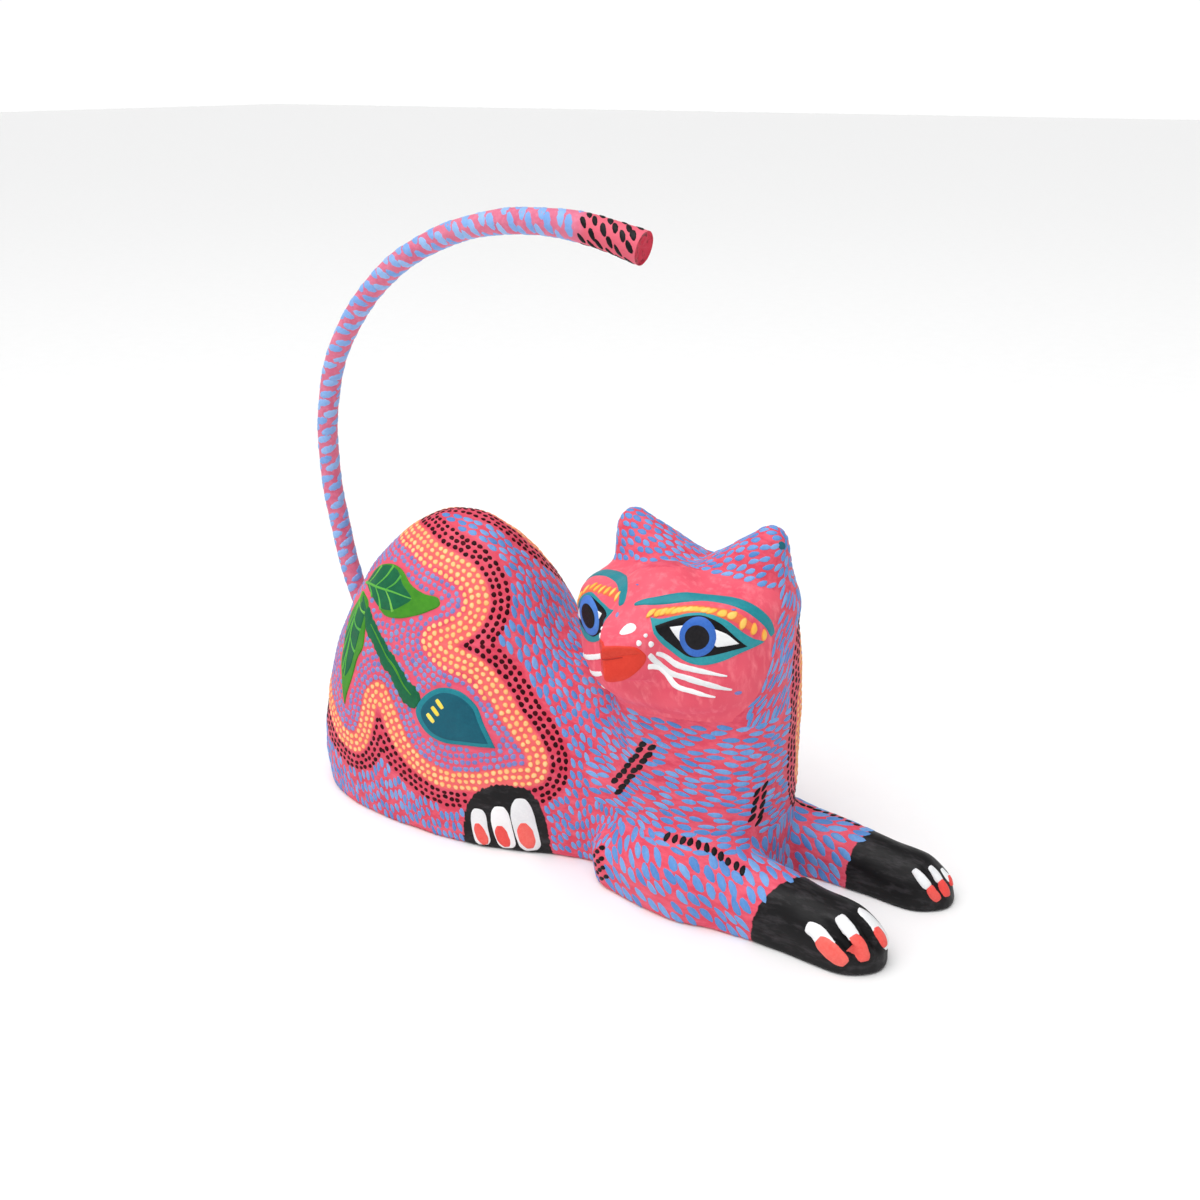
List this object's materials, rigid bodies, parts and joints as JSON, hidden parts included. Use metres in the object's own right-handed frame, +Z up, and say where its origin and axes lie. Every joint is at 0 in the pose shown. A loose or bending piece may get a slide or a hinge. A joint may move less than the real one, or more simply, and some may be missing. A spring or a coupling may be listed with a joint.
{
  "type": "alebrije figure",
  "caption": "Carved and painted wooden cat, crouching with outstretched forelegs and turned head, its long arched tail pushed into a hole in the rump.",
  "frame": {"origin": "on the flat sawn underside, on the body's mid-plane, below the saddle between haunch and neck", "axes": "+X towards the forepaws, +Y towards the cat's left, +Z up"},
  "size_m": [0.1926, 0.0674, 0.167],
  "materials": {
    "painted_block": "satin acrylic paint on carved wood",
    "painted_tail": "satin acrylic paint on a whittled stick"
  },
  "bodies": {
    "body": {"carved_body": "painted_block"},
    "tail": {"tail": "painted_tail"}
  },
  "joints": [
    {"name": "tail_pull", "type": "slide", "parent": "body", "child": "tail", "axis": [-0.3443, 0, 0.9389], "range_m": [0, 0.016]}
  ]
}
